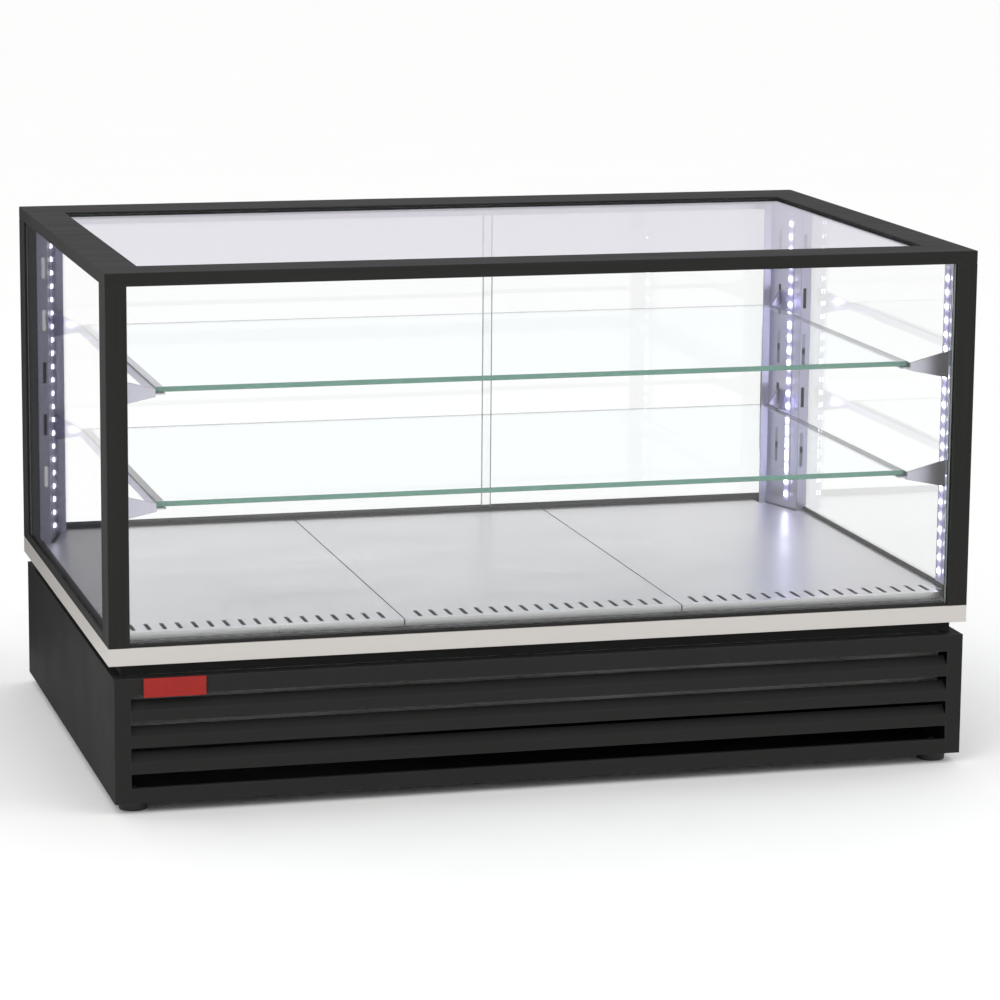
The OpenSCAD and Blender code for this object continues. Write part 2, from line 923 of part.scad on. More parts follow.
// A rocker in its off position, on a pivot pin along X.
module rocker(x)
    translate([x, face_y - rocker_depth, control_z]) {
        rotate([-rocker_tilt, 0, 0])
            along_x([-rocker_w / 2, rocker_w / 2])
                polygon([[-2, -9], [5.5, -9.5], [4.2, 0], [5.5, 9.5], [-2, 9]]);
        translate([1.2 - switch_w / 2, 0, 0])
            rotate([0, 90, 0])
                cylinder(r = pivot_r, h = switch_w - 2.4);
    }

module main_rocker()
    color(red)
        rocker(main_x);

module light_rocker()
    color(black)
        rocker(light_x);

module thermostat_body()
    color(white)
        translate([knob_x, face_y - box_t, control_z])
            difference() {
                span([-thermostat_w / 2, thermostat_w / 2], [-thermostat_d, 0],
                    [-thermostat_w / 2, thermostat_w / 2]);
                translate([0, -thermostat_d / 3, 0])
                    rod_y(spindle_r + bore_gap, thermostat_d);
            }

// The knob turns with its spindle; a ridge across it points at the setting.
module thermostat_knob()
    color(black)
        translate([knob_x, face_y, control_z]) {
            translate([0, 0.5 - thermostat_d / 3, 0])
                rod_y(spindle_r, thermostat_d / 3 + 2);
            translate([0, bezel_t, 0])
                rod_y(knob_r, knob_d / 3);
            translate([0, bezel_t, 0])
                rod_y(knob_r - 3, knob_d - 3);
            span([-3, 3], [bezel_t, bezel_t + knob_d], [3 - knob_r, knob_r - 1]);
        }

module temperature_display()
    color(black)
        translate([display_x, face_y, control_z])
            difference() {
                union() {
                    span([2 - display_w / 2, display_w / 2 - 2], [-40, 0],
                        [2 - display_h / 2, display_h / 2 - 2]);
                    span([-display_w / 2, display_w / 2], [0, bezel_t], [-display_h / 2, display_h / 2]);
                }
                span([-18, 18], [bezel_t - 0.8, bezel_t + cut], [-7, 7]);
            }

// A hexagonal gland with a dome nut; the cord would pass through its bore.
module cord_gland()
    color(black)
        translate([gland_x, face_y, control_z])
            difference() {
                union() {
                    translate([0, -6, 0])
                        rod_y(gland_r - 2, 8);
                    translate([0, -6, 0])
                        rotate([-90, 0, 0])
                            cylinder(r = gland_r + 2, h = 6 - box_t, $fn = 6);
                    rotate([-90, 0, 0])
                        cylinder(r = gland_r + 2, h = 5, $fn = 6);
                    translate([0, 5, 0])
                        rotate([-90, 0, 0])
                            cylinder(r1 = gland_r, r2 = gland_r - 3, h = 10);
                }
                translate([0, -8, 0])
                    rod_y(gland_bore_r, 30);
            }

module led_driver()
    color(white)
        translate([-260, 0, foot_h + sheet]) {
            span([0, 140], [215, 260], [0, 28]);
            span([-12, 152], [225, 250], [0, 2]);
        }

module at_screws()
    for (k = screw_xs, z = [foot_h + 10, panel_top - 10])
        translate([k * half_w, 0, z])
            translate([0, base_y - return_d, 0])
                children();

// Slotted pan-head screws round the rear panel.
module panel_screws()
    color(steel)
        at_screws()
            difference() {
                union() {
                    translate([0, return_d - 8, 0])
                        rod_y(screw_r, 8);
                    translate([0, return_d, 0])
                        rod_y(screw_head_r, screw_head_t);
                }
                span([-screw_head_r, screw_head_r], [return_d + 1, return_d + 3], [-0.6, 0.6]);
            }

// --- output ---

base_pan();
base_side_left();
base_side_right();
rear_panel();
grille_frame();
grille_slats();
badge_plate();
feet();
spacer_frame();
belt_trim();
well();
plate_bars();
rear_deck();
floor_plate_left();
floor_plate_centre();
floor_plate_right();
front_sill();
post_front_left();
post_front_right();
post_rear_left();
post_rear_right();
pane_liners();
side_rail_left();
side_rail_right();
cap_frame();
glass_top();
glass_front();
glass_left();
glass_right();
door_track_top();
door_track_bottom();
door_left();
door_right();
door_pull_left();
door_pull_right();
upright_front_left();
upright_front_right();
upright_rear_left();
upright_rear_right();
led_boards();
led_chips();
supports_upper();
supports_lower();
shelf_upper();
shelf_lower();
heaters();
fan_bulkhead();
fan_frames();
impeller_left();
impeller_right();
control_box();
switch_bodies();
main_rocker();
light_rocker();
thermostat_body();
thermostat_knob();
temperature_display();
cord_gland();
led_driver();
panel_screws();
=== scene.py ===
"""How the hot food display case looks: its materials, rounded edges, glass, lights and camera.

Lengths are in metres, in the part's own frame: X to the right, Y to the rear, Z up.
"""

import json
import math

import bmesh
import bpy
from mathutils import Matrix, Vector

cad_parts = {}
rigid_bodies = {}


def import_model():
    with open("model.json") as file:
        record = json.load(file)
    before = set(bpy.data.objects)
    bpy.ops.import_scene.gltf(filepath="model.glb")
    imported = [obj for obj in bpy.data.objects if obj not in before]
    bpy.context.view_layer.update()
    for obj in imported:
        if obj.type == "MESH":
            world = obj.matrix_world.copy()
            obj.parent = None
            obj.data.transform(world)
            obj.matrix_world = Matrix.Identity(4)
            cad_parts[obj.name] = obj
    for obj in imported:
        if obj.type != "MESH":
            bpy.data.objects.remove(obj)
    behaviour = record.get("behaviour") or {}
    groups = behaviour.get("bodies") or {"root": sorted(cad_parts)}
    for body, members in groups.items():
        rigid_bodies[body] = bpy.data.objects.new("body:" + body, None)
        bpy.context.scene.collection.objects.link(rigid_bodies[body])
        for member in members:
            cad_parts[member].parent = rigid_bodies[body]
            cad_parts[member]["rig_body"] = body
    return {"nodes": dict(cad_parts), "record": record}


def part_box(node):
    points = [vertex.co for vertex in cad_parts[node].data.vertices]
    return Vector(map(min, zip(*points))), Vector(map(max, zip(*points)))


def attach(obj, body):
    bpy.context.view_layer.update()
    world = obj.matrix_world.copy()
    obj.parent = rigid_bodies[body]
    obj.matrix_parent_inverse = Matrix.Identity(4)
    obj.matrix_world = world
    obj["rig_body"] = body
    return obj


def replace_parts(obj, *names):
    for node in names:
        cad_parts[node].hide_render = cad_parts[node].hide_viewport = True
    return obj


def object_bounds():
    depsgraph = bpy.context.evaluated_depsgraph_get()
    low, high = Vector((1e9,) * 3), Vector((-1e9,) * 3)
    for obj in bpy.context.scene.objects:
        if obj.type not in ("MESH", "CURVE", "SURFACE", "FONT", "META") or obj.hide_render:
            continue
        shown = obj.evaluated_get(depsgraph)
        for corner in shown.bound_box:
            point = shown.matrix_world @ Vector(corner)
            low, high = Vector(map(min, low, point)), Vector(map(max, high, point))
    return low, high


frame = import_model()
cad_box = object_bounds()

MM = 0.001
BODY_OF = {node: obj["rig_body"] for node, obj in frame["nodes"].items()}
SLOT_OF = {row["node"]: row["material_slot"] for row in frame["record"]["subparts"]}


# --- node trees ---


class Surface:
    """A Principled material, with short ways to add the nodes that vary it over the surface."""

    def __init__(self, name, colour, roughness, metallic=0.0, **sockets):
        self.material = bpy.data.materials.new(name)
        self.material.use_nodes = True
        self.tree = self.material.node_tree
        self.shader = self.tree.nodes["Principled BSDF"]
        self.shader.inputs["Base Color"].default_value = (*colour, 1)
        self.shader.inputs["Roughness"].default_value = roughness
        self.shader.inputs["Metallic"].default_value = metallic
        for socket, value in sockets.items():
            self.shader.inputs[socket.replace("_", " ")].default_value = value
        self.colour = colour
        self.normal = None

    def add(self, kind, inputs=None, **properties):
        """A new node; an input is a plain value or another node's socket."""
        node = self.tree.nodes.new(kind)
        for name, value in properties.items():
            setattr(node, name, value)
        for key, value in (inputs or {}).items():
            if isinstance(value, bpy.types.NodeSocket):
                self.tree.links.new(value, node.inputs[key])
            else:
                node.inputs[key].default_value = value
        return node

    def noise(self, scale, stretch=(1, 1, 1), detail=3.0):
        """A noise field fixed to the piece, with `scale` features a metre, each axis scaled by stretch."""
        place = self.add("ShaderNodeTexCoord").outputs["Object"]
        scaled = self.add("ShaderNodeVectorMath", {0: place, 1: stretch}, operation="MULTIPLY")
        made = self.add("ShaderNodeTexNoise", {"Vector": scaled.outputs[0], "Scale": scale, "Detail": detail})
        return made.outputs["Fac"]

    def spread(self, field, low, high, start=0.3, end=0.7):
        """The field, stretched so that start becomes low and end becomes high."""
        inputs = {"Value": field, "From Min": start, "From Max": end, "To Min": low, "To Max": high}
        return self.add("ShaderNodeMapRange", inputs).outputs["Result"]

    def product(self, a, b):
        return self.add("ShaderNodeMath", {0: a, 1: b}, operation="MULTIPLY").outputs[0]

    def blend(self, field, a, b):
        """A number that goes from a to b with the field."""
        mixed = self.add("ShaderNodeMix", {"Factor": field, "A": a, "B": b}, data_type="FLOAT")
        return mixed.outputs["Result"]

    def tint(self, field, a, b):
        """Sets the colour from a to b with the field, from 0 to 1."""
        mixed = self.add("ShaderNodeMix", data_type="RGBA")
        self.tree.links.new(field, mixed.inputs[0])
        for socket, colour in ((mixed.inputs[6], a), (mixed.inputs[7], b)):
            if isinstance(colour, bpy.types.NodeSocket):
                self.tree.links.new(colour, socket)
            else:
                socket.default_value = (*colour, 1)
        self.tree.links.new(mixed.outputs[2], self.shader.inputs["Base Color"])
        return mixed.outputs[2]

    def shade(self, field, amount):
        """Varies the colour by a share either side of the material's own."""
        darker = [c * (1 - amount) for c in self.colour]
        lighter = [min(1, c * (1 + amount)) for c in self.colour]
        return self.tint(field, darker, lighter)

    def rough(self, field, low, high):
        self.tree.links.new(self.spread(field, low, high), self.shader.inputs["Roughness"])

    def bump(self, field, depth):
        """Raises the surface by up to depth where the field is 1, on top of earlier bumps."""
        inputs = {"Height": field, "Distance": depth}
        if self.normal:
            inputs["Normal"] = self.normal
        self.normal = self.add("ShaderNodeBump", inputs).outputs["Normal"]
        self.tree.links.new(self.normal, self.shader.inputs["Normal"])

    def edges(self, radius):
        """1 along the piece's edges and 0 on its flat faces."""
        soft = self.add("ShaderNodeBevel", {"Radius": radius}, samples=4).outputs["Normal"]
        true = self.add("ShaderNodeNewGeometry").outputs["Normal"]
        same = self.add("ShaderNodeVectorMath", {0: soft, 1: true}, operation="DOT_PRODUCT").outputs["Value"]
        return self.spread(same, 1.0, 0.0, start=0.9, end=0.995)


# --- materials ---


def brush_stretch(axis):
    """Noise stretched so that its streaks run along an axis."""
    return [0.012 if i == axis else 1.0 for i in range(3)]


def powder_coat(name, colour, roughness, specular, edge_colour):
    """Baked powder: fine orange peel, cloudy sheen, and edges tinted lighter in patches."""
    s = Surface(name, colour, roughness, Specular_IOR_Level=specular)
    cloud = s.noise(7, detail=4)
    s.rough(cloud, roughness - 0.06, roughness + 0.08)
    # The colour is lighter along the edges, in patches.
    lighter_edges = s.product(s.edges(0.9 * MM), s.spread(s.noise(45), 0.25, 0.9))
    s.tint(lighter_edges, s.shade(cloud, 0.12), edge_colour)
    s.bump(s.noise(650, detail=1), 0.02 * MM)
    return s.material


def drawn_black(name, axis):
    """A black anodised profile with die lines along its length."""
    s = Surface(name, (0.02, 0.02, 0.019), 0.5, Specular_IOR_Level=0.05)
    lines = s.noise(420, brush_stretch(axis), detail=2)
    s.rough(lines, 0.48, 0.64)
    # The colour is lighter along the edges, in patches.
    lighter_edges = s.product(s.edges(0.8 * MM), s.spread(s.noise(60), 0.2, 0.9))
    s.tint(lighter_edges, s.shade(lines, 0.22), (0.09, 0.09, 0.088))
    s.bump(lines, 0.03 * MM)
    return s.material


def brushed(name, colour, axis, roughness, depth=0.02, grain=520, anisotropy=0.5, edge_colour=None):
    """Brushed stainless steel: long fine scratches along an axis, with cloudy patches; with edge_colour,
    painted shade darkens the edges.
    """
    s = Surface(name, colour, roughness, metallic=1.0, Anisotropic=anisotropy)
    lines = s.noise(grain, brush_stretch(axis), detail=4)
    patches = s.noise(9, detail=3)
    s.rough(s.blend(0.35, lines, patches), roughness - 0.07, roughness + 0.1)
    face_colour = s.shade(s.blend(0.4, lines, patches), 0.1)
    # With edge_colour given, the edges are painted darker: painted shade along each edge.
    if edge_colour:
        s.tint(s.edges(1.0 * MM), face_colour, edge_colour)
    s.bump(lines, depth * MM)
    return s.material


def belt_steel():
    """The belt is brushed along each of its sides, so the streaks turn with the face."""
    s = Surface("belt_steel", (0.52, 0.495, 0.47), 0.34, metallic=0.35, Anisotropic=0.4)
    facing = s.add("ShaderNodeTexCoord").outputs["Normal"]
    parts = s.add("ShaderNodeSeparateXYZ", {0: facing}).outputs
    side = s.add("ShaderNodeMath", {0: parts["X"]}, operation="ABSOLUTE").outputs[0]
    lines = s.blend(side, s.noise(600, brush_stretch(0), 4), s.noise(600, brush_stretch(1), 4))
    s.rough(lines, 0.28, 0.4)
    s.shade(lines, 0.035)
    s.bump(lines, 0.008 * MM)
    return s.material


def satin_plate():
    """Floor plates: a soft satin face with faint swirls from wiping."""
    s = Surface("plate_steel", (0.66, 0.655, 0.66), 0.33, metallic=1.0)
    fine = s.noise(900, (1, 0.05, 1), detail=3)
    wiped = s.noise(5, (1, 2.2, 1), detail=5)
    s.rough(s.blend(0.5, fine, wiped), 0.26, 0.42)
    s.shade(s.blend(0.6, fine, wiped), 0.09)
    s.bump(fine, 0.012 * MM)
    return s.material


def moulded(name, colour, roughness, grain=1100, depth=0.03, **sockets):
    """Moulded plastic or rubber with a fine spark-eroded texture."""
    s = Surface(name, colour, roughness, **sockets)
    fine = s.noise(grain, detail=2)
    s.rough(s.noise(30, detail=3), roughness - 0.07, roughness + 0.09)
    s.shade(s.noise(18, detail=3), 0.12)
    s.bump(fine, depth * MM)
    return s.material


def badge_red():
    """Blank gloss enamel."""
    s = Surface("badge_red", (0.27, 0.008, 0.005), 0.3, Specular_IOR_Level=0.2, Coat_Weight=0.15)
    s.shade(s.noise(40, detail=2), 0.12)
    s.rough(s.noise(220, detail=2), 0.16, 0.3)
    s.bump(s.noise(90, detail=1), 0.02 * MM)
    return s.material


def zinc():
    s = Surface("screw_steel", (0.66, 0.66, 0.64), 0.34, metallic=1.0)
    s.rough(s.noise(500, detail=2), 0.24, 0.46)
    s.shade(s.noise(160, detail=2), 0.14)
    return s.material


def heater_tube():
    """Steel tube, straw and brown where it has been hot."""
    s = Surface("heater_tube", (0.3, 0.25, 0.21), 0.4, metallic=1.0)
    heat = s.noise(14, detail=3)
    s.tint(s.spread(heat, 0, 1), (0.2, 0.17, 0.16), (0.42, 0.33, 0.24))
    s.rough(s.noise(300, detail=2), 0.32, 0.5)
    return s.material


def lit_chip():
    """A white light chip, switched on."""
    s = Surface("led_chip", (0.95, 0.96, 1.0), 0.4, Emission_Strength=42.0)
    s.shader.inputs["Emission Color"].default_value = (0.84, 0.85, 1.0, 1)
    s.shade(s.noise(900, detail=2), 0.04)
    s.rough(s.noise(900, detail=2), 0.3, 0.5)
    return s.material


CHIP_COUNT = 22
CHIP_HIGH = 5 * MM


def lit_board():
    """The white circuit strip, with a painted glow: bright round each chip, dimmer and violet between them,
    standing in for the chips' light.
    """
    s = Surface("led_board", (0.2, 0.19, 0.3), 0.5, Emission_Strength=0.55)
    lowest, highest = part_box("led_chips")
    pitch = (highest.z - lowest.z - CHIP_HIGH) / (CHIP_COUNT - 1)
    first_chip = lowest.z + CHIP_HIGH / 2
    place = s.add("ShaderNodeTexCoord").outputs["Object"]
    height = s.add("ShaderNodeSeparateXYZ", {0: place}).outputs["Z"]
    from_first = s.add("ShaderNodeMath", {0: height, 1: first_chip}, operation="SUBTRACT")
    away = s.add("ShaderNodeMath", {0: from_first.outputs[0], 1: pitch / 2}, operation="PINGPONG")
    glow = s.spread(away.outputs[0], 1.0, 0.0, start=2.0 * MM, end=0.9 * pitch / 2)
    # Painted glow: the board's own emission, near white round each chip and violet between them.
    mixed = s.add("ShaderNodeMix", data_type="RGBA")
    s.tree.links.new(glow, mixed.inputs[0])
    mixed.inputs[6].default_value = (0.2, 0.18, 0.42, 1)
    mixed.inputs[7].default_value = (0.92, 0.92, 1.0, 1)
    s.tree.links.new(mixed.outputs[2], s.shader.inputs["Emission Color"])
    s.rough(s.noise(400, detail=2), 0.38, 0.52)
    return s.material


def clear_glass(name, colour):
    """Clear glass. Lamps and bounced light go straight through it, so what it covers is lit."""
    s = Surface(name, colour, 0.0, Transmission_Weight=1.0, IOR=1.5)
    smears = s.noise(11, (1, 1, 0.5), detail=4)
    s.rough(smears, 0.0, 0.012)
    passing = s.add("ShaderNodeBsdfTransparent", {"Color": (*colour, 1)}).outputs[0]
    path = s.add("ShaderNodeLightPath").outputs
    passing_rays = {0: path["Is Shadow Ray"], 1: path["Is Diffuse Ray"]}
    lamp_ray = s.add("ShaderNodeMath", passing_rays, operation="MAXIMUM")
    mixed = s.add("ShaderNodeMixShader", {0: lamp_ray.outputs[0], 1: s.shader.outputs[0], 2: passing})
    s.tree.links.new(mixed.outputs[0], s.tree.nodes["Material Output"].inputs["Surface"])
    return s.material


def glass_edge(name, colour):
    """The ground edge of a pane, where the glass shows its own colour."""
    s = Surface(name, colour, 0.2, Specular_IOR_Level=0.6, Coat_Weight=0.3)
    s.shade(s.noise(80, (1, 1, 3), detail=3), 0.2)
    s.rough(s.noise(500, detail=2), 0.14, 0.3)
    s.bump(s.noise(800, detail=2), 0.02 * MM)
    return s.material


def glossy_black(name):
    s = Surface(name, (0.012, 0.012, 0.014), 0.2, Coat_Weight=0.4, Coat_Roughness=0.05)
    s.rough(s.noise(60, detail=3), 0.14, 0.3)
    s.shade(s.noise(25, detail=2), 0.15)
    return s.material


MATERIALS = {
    "black_coat": powder_coat("black_coat", (0.022, 0.022, 0.0215), 0.56, 0.02, (0.07, 0.07, 0.068)),
    "frame_black": drawn_black("frame_black", 0),
    "belt_steel": belt_steel(),
    "plate_steel": satin_plate(),
    "well_steel": brushed("well_steel", (0.56, 0.56, 0.55), 0, 0.4),
    # Lavender colour: painted light from the LED strips; the dark edge colour is painted shade along the
    # edges.
    "upright_steel": brushed(
        "upright_steel", (0.43, 0.42, 0.55), 2, 0.36, anisotropy=0.3, edge_colour=(0.06, 0.06, 0.08)
    ),
    # Lilac colour: painted light from the LED strips; the dark edge colour is painted shade along the edges.
    "support_steel": brushed(
        "support_steel", (0.56, 0.55, 0.64), 1, 0.32, anisotropy=0.3, edge_colour=(0.12, 0.12, 0.14)
    ),
    "track_alloy": brushed("track_alloy", (0.76, 0.77, 0.78), 0, 0.34, depth=0.01),
    "badge_red": badge_red(),
    "foot_rubber": moulded("foot_rubber", (0.016, 0.016, 0.016), 0.7, grain=700, depth=0.06),
    "black_plastic": moulded("black_plastic", (0.02, 0.02, 0.02), 0.5),
    "rocker_red": moulded("rocker_red", (0.5, 0.02, 0.012), 0.3, depth=0.01, Coat_Weight=0.3),
    "display_plastic": glossy_black("display_plastic"),
    "white_plastic": moulded("white_plastic", (0.72, 0.72, 0.69), 0.45),
    "led_board": lit_board(),
    "led_chip": lit_chip(),
    "heater_tube": heater_tube(),
    "screw_steel": zinc(),
}
PROFILE_Y = drawn_black("frame_black_deep", 1)
PROFILE_Z = drawn_black("frame_black_upright", 2)
ALONG_Y = ("side_rail_left", "side_rail_right")
ALONG_Z = ("post_front_left", "post_front_right", "post_rear_left", "post_rear_right", "pane_liners")


# --- CAD nodes: materials and rounded edges ---


def joined_mesh_nodes():
    """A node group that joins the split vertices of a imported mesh, so that its edges can be rounded."""
    group = bpy.data.node_groups.new("joined_mesh", "GeometryNodeTree")
    group.interface.new_socket("Geometry", in_out="INPUT", socket_type="NodeSocketGeometry")
    group.interface.new_socket("Geometry", in_out="OUTPUT", socket_type="NodeSocketGeometry")
    start = group.nodes.new("NodeGroupInput")
    joined = group.nodes.new("GeometryNodeMergeByDistance")
    joined.inputs["Distance"].default_value = JOIN_WITHIN
    plain = group.nodes.new("GeometryNodeRemoveAttribute")
    plain.inputs["Name"].default_value = "custom_normal"
    smooth = group.nodes.new("GeometryNodeSetShadeSmooth")
    end = group.nodes.new("NodeGroupOutput")
    chain = (start, joined, plain, smooth, end)
    for a, b in zip(chain, chain[1:]):
        group.links.new(a.outputs[0], b.inputs[0])
    return group


ROUNDING = {
    "feet": 0.8,
    "door_pull_left": 0.7,
    "door_pull_right": 0.7,
    "thermostat_knob": 0.6,
    "cap_frame": 0.8,
    "led_chips": 0.3,
    "led_boards": 0.2,
    "panel_screws": 0.2,
    "impeller_left": 0.3,
    "impeller_right": 0.3,
    "heaters": 0.3,
    "fan_bulkhead": 0.3,
    "well": 0.3,
}
USUAL_ROUNDING = 0.45
JOIN_WITHIN = 0.002 * MM
FLAT_WITHIN = math.radians(0.5)
SHARP_OVER = math.radians(38)
FACE_WEIGHT = 80
JOINED = joined_mesh_nodes()


def round_edges(obj, radius):
    """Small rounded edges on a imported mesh, by modifiers; the mesh itself stays as it is.

    Without loop_slide, no rounded corner stands out past the faces beside it.
    """
    joined = obj.modifiers.new("joined", "NODES")
    joined.node_group = JOINED
    flat = obj.modifiers.new("flat_faces", "DECIMATE")
    flat.decimate_type = "DISSOLVE"
    flat.angle_limit = FLAT_WITHIN
    bevel = obj.modifiers.new("rounded", "BEVEL")
    bevel.limit_method = "ANGLE"
    bevel.angle_limit = SHARP_OVER
    bevel.width = radius
    bevel.segments = 2
    bevel.use_clamp_overlap = True
    bevel.loop_slide = False
    weighted = obj.modifiers.new("even_shading", "WEIGHTED_NORMAL")
    weighted.mode = "FACE_AREA"
    weighted.weight = FACE_WEIGHT
    weighted.keep_sharp = False


def dress(node, obj):
    """Gives a CAD node its material and its rounded edges."""
    material = MATERIALS[SLOT_OF[node]]
    if node in ALONG_Y:
        material = PROFILE_Y
    if node in ALONG_Z:
        material = PROFILE_Z
    obj.data.materials.clear()
    obj.data.materials.append(material)
    round_edges(obj, ROUNDING.get(node, USUAL_ROUNDING) * MM)


# --- glass panes ---

CLEAR = clear_glass("pane_glass", (0.985, 0.99, 0.99))
SHELF_CLEAR = clear_glass("shelf_glass", (0.92, 0.965, 0.98))
PANE_EDGE = glass_edge("pane_edge", (0.2, 0.24, 0.23))
SHELF_EDGE = glass_edge("shelf_edge", (0.062, 0.2, 0.145))
SHELF_END = glass_edge("shelf_end", (0.09, 0.1, 0.11))
# Each pane's materials: its two faces, its front edge and its other edges
PANES = {
    "glass_top": (CLEAR, PANE_EDGE, PANE_EDGE),
    "glass_front": (CLEAR, PANE_EDGE, PANE_EDGE),
    "glass_left": (CLEAR, PANE_EDGE, PANE_EDGE),
    "glass_right": (CLEAR, PANE_EDGE, PANE_EDGE),
    "door_left": (CLEAR, PANE_EDGE, PANE_EDGE),
    "door_right": (CLEAR, PANE_EDGE, PANE_EDGE),
    "shelf_upper": (SHELF_CLEAR, SHELF_EDGE, SHELF_END),
    "shelf_lower": (SHELF_CLEAR, SHELF_EDGE, SHELF_END),
}
ARRIS = 0.7 * MM


def piece(name, mesh, body):
    """A new object that rides on a CAD body."""
    obj = bpy.data.objects.new(name, mesh)
    bpy.context.scene.collection.objects.link(obj)
    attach(obj, body)
    return obj


def block(bm, low, high):
    """Adds a box to a bmesh and returns its vertices."""
    low, high = Vector(low), Vector(high)
    size = high - low
    place = Matrix.Translation((low + high) / 2) @ Matrix.Diagonal((*size, 1))
    return bmesh.ops.create_cube(bm, size=1, matrix=place)["verts"]


def glass_pane(node, materials):
    """A pane with ground arrises: clear on its two faces and its own colour round its edge."""
    low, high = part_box(node)
    size = high - low
    thin = min(range(3), key=lambda i: size[i])
    bm = bmesh.new()
    block(bm, low, high)
    bmesh.ops.bevel(bm, geom=bm.edges[:], offset=ARRIS, segments=2, profile=0.5, affect="EDGES")
    bm.normal_update()
    for face in bm.faces:
        on_face = abs(face.normal[thin]) > 0.999
        at_front = face.normal.y < -0.3
        face.material_index = 0 if on_face else 1 if at_front else 2
    mesh = bpy.data.meshes.new(node + "_pane")
    bm.to_mesh(mesh)
    bm.free()
    for material in materials:
        mesh.materials.append(material)
    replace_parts(piece(node + "_pane", mesh, BODY_OF[node]), node)


for name, obj in frame["nodes"].items():
    if name in PANES:
        glass_pane(name, PANES[name])
    else:
        dress(name, obj)


# --- marks on the controls ---


def printed(name, colour, emission=0.0):
    """Printed or lit marking ink."""
    s = Surface(name, colour, 0.45, Emission_Strength=emission)
    s.shader.inputs["Emission Color"].default_value = (*colour, 1)
    s.shade(s.noise(600, detail=2), 0.1)
    s.rough(s.noise(800, detail=2), 0.38, 0.55)
    return s.material


def marking(name, node, bars, material):
    """Thin bars, each given by its centre, size and turn about Y, that ride with a CAD node."""
    bm = bmesh.new()
    for centre, size, turn in bars:
        place = Matrix.Translation(centre) @ Matrix.Rotation(turn, 4, "Y") @ Matrix.Diagonal((*size, 1))
        bmesh.ops.create_cube(bm, size=1, matrix=place)
    mesh = bpy.data.meshes.new(name)
    bm.to_mesh(mesh)
    bm.free()
    mesh.materials.append(material)
    piece(name, mesh, BODY_OF[node])


INK = 0.12 * MM


def knob_scale():
    """Ticks round the thermostat knob on the wall of the control recess."""
    low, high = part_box("thermostat_knob")
    centre = (low + high) / 2
    display_proud = 2 * MM
    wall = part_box("temperature_display")[1].y - display_proud
    first, step, count = -150, 30, 11
    clear_of_knob = 4 * MM
    radius = (high.x - low.x) / 2 + clear_of_knob
    tick = (0.8 * MM, 2 * INK, 3 * MM)
    bars = []
    for i in range(count):
        turn = math.radians(first + i * step)
        away = Vector((math.sin(turn), 0, math.cos(turn))) * radius
        bars.append((Vector((centre.x, wall, centre.z)) + away, tick, turn))
    marking("knob_scale", "control_box", bars, WHITE_INK)


# The lit bars of a seven-bar digit: where each is and whether it lies flat
DIGIT_BARS = {
    "top": (0, 1, True),
    "middle": (0, 0, True),
    "bottom": (0, -1, True),
    "top_left": (1, 0.5, False),
    "top_right": (-1, 0.5, False),
    "low_left": (1, -0.5, False),
    "low_right": (-1, -0.5, False),
}
SIX = ("top", "middle", "bottom", "top_left", "low_left", "low_right")
FIVE = ("top", "middle", "bottom", "top_left", "low_right")


def display_digits():
    """Two lit digits behind the display's window, read from the rear."""
    low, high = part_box("temperature_display")
    centre = (low + high) / 2
    window = high.y - 0.8 * MM
    half_w, half_h, stroke = 2.4 * MM, 4.6 * MM, 1.0 * MM
    off_centre = 4.5 * MM
    flat_bar = (1.6 * half_w, 2 * INK, stroke)
    upright_bar = (stroke, 2 * INK, 0.8 * half_h)
    bars = []
    for side, digit in ((1, SIX), (-1, FIVE)):
        for name in digit:
            x, z, flat = DIGIT_BARS[name]
            place = Vector((centre.x + side * off_centre + x * half_w, window, centre.z + z * half_h))
            bars.append((place, flat_bar if flat else upright_bar, 0))
    marking("display_digits", "temperature_display", bars, RED_LIGHT)


WHITE_INK = printed("white_ink", (0.78, 0.78, 0.76))
RED_LIGHT = printed("red_light", (0.9, 0.05, 0.03), emission=3.0)
knob_scale()
display_digits()


# --- studio ---


def floor():
    """A plain pale floor."""
    s = Surface("floor", (0.9, 0.9, 0.895), 0.75)
    s.shade(s.noise(1.5, detail=3), 0.01)
    s.rough(s.noise(12, detail=2), 0.7, 0.82)
    mesh = bpy.data.meshes.new("floor")
    half = 60.0
    corners = [(-half, -half, 0), (half, -half, 0), (half, half, 0), (-half, half, 0)]
    mesh.from_pydata(corners, [], [(0, 1, 2, 3)])
    mesh.materials.append(s.material)
    obj = bpy.data.objects.new("floor", mesh)
    bpy.context.scene.collection.objects.link(obj)


def reflector(name, x, y, z, colour):
    """An upright card behind the case, which the camera sees only in reflections and through glass."""
    material = bpy.data.materials.new(name)
    material.use_nodes = True
    tree = material.node_tree
    glow = tree.nodes.new("ShaderNodeEmission")
    glow.inputs["Color"].default_value = (*colour, 1)
    tree.links.new(glow.outputs[0], tree.nodes["Material Output"].inputs["Surface"])
    mesh = bpy.data.meshes.new(name)
    corners = [(x[0], y, z[0]), (x[1], y, z[0]), (x[1], y, z[1]), (x[0], y, z[1])]
    mesh.from_pydata(corners, [], [(0, 1, 2, 3)])
    mesh.materials.append(material)
    obj = bpy.data.objects.new(name, mesh)
    obj.visible_camera = False
    obj.visible_diffuse = False
    obj.visible_shadow = False
    bpy.context.scene.collection.objects.link(obj)


def soft_box(name, place, target, width, height, power):
    """A large rectangular lamp that the camera doesn't see."""
    lamp = bpy.data.lights.new(name, "AREA")
    lamp.shape = "RECTANGLE"
    lamp.size, lamp.size_y = width, height
    lamp.energy = power
    obj = bpy.data.objects.new(name, lamp)
    obj.location = place
    obj.rotation_mode = "QUATERNION"
    obj.rotation_quaternion = (Vector(target) - Vector(place)).to_track_quat("-Z", "Y")
    obj.visible_camera = False
    bpy.context.scene.collection.objects.link(obj)


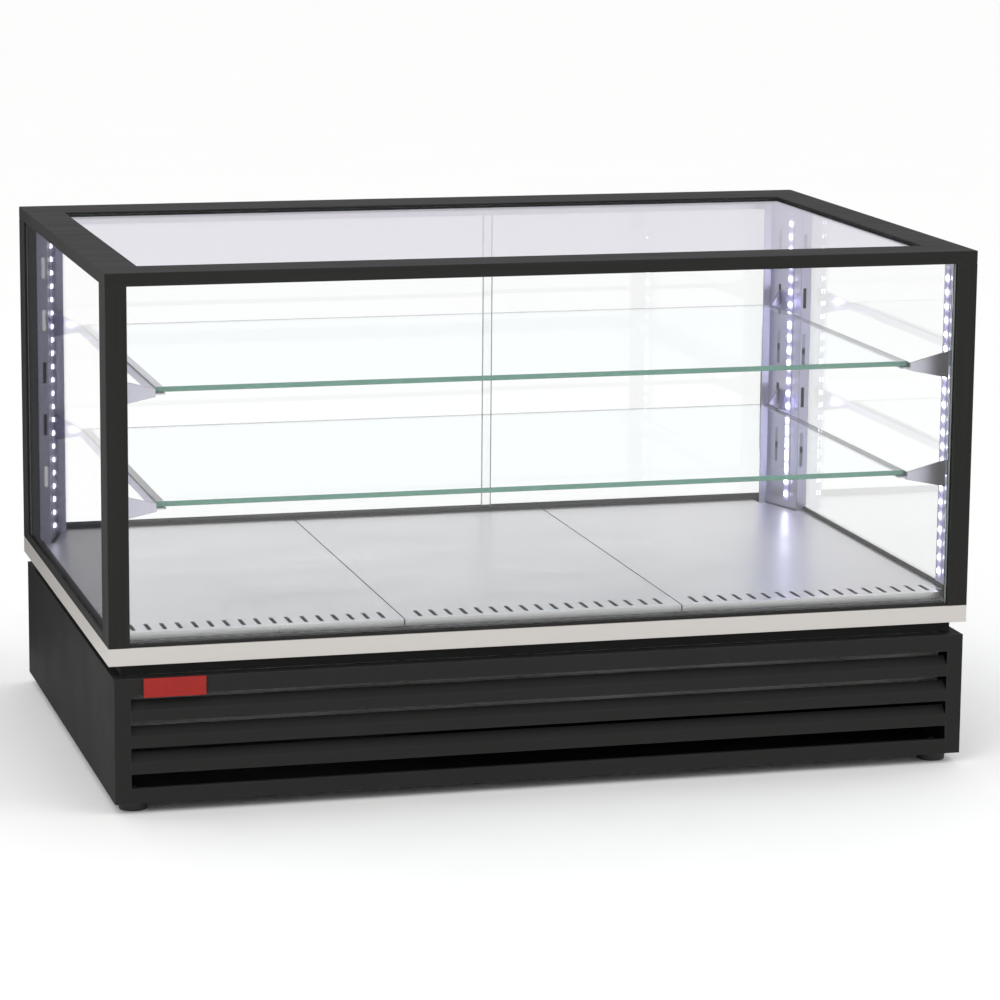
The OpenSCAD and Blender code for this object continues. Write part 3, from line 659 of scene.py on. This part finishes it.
def studio():
    world = bpy.data.worlds.new("studio")
    world.use_nodes = True
    background = world.node_tree.nodes["Background"]
    background.inputs["Color"].default_value = (1.0, 1.0, 1.0, 1)
    background.inputs["Strength"].default_value = 1.08
    scene = bpy.context.scene
    scene.world = world
    scene.view_settings.view_transform = "Standard"
    scene.cycles.max_bounces = 20
    scene.cycles.transmission_bounces = 20
    scene.cycles.transparent_max_bounces = 48
    centre = (cad_box[0] + cad_box[1]) / 2
    soft_box("key", (-2.2, -2.6, 2.6), centre, 2.0, 1.4, 30)
    soft_box("fill", (2.6, -2.4, 1.8), centre, 1.6, 1.6, 14)
    dark, lavender = (0.05, 0.05, 0.055), (0.72, 0.7, 0.78)
    left, right = cad_box[0].x, cad_box[1].x
    behind = cad_box[1].y + 0.17
    base_high = (0.0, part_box("belt_trim")[0].z)
    case_high = (0.0, cad_box[1].z)
    over_case = (0.69, 1.3)
    sky_y = 1.0
    reflector("base_card", (left - 0.19, left), behind, base_high, dark)
    reflector("rear_post_card", (left - 0.075, left + 0.004), behind, case_high, dark)
    reflector("front_post_card", (left - 0.17, left - 0.128), behind, case_high, dark)
    reflector("sky_card", (left - 0.4, right + 0.6), sky_y, over_case, lavender)


def camera():
    """A long lens in front of the case, left of its middle and looking down on its top."""
    place = (-1.1854, -4.4407, 1.1652)
    yaw, pitch, roll = 0.26665, 0.19101, 0.0088
    forward = Vector((math.sin(yaw) * math.cos(pitch), math.cos(yaw) * math.cos(pitch), -math.sin(pitch)))
    right = Vector((math.cos(yaw), -math.sin(yaw), 0))
    up = right.cross(forward)
    level = Matrix((right, up, -forward)).transposed()
    data = bpy.data.cameras.new("camera")
    data.sensor_width = 36
    data.lens = 138.14
    data.clip_end = 200
    obj = bpy.data.objects.new("camera", data)
    turned = level @ Matrix.Rotation(roll, 3, "Z")
    obj.matrix_world = Matrix.Translation(place) @ turned.to_4x4()
    bpy.context.scene.collection.objects.link(obj)
    bpy.context.scene.camera = obj


floor()
studio()
camera()
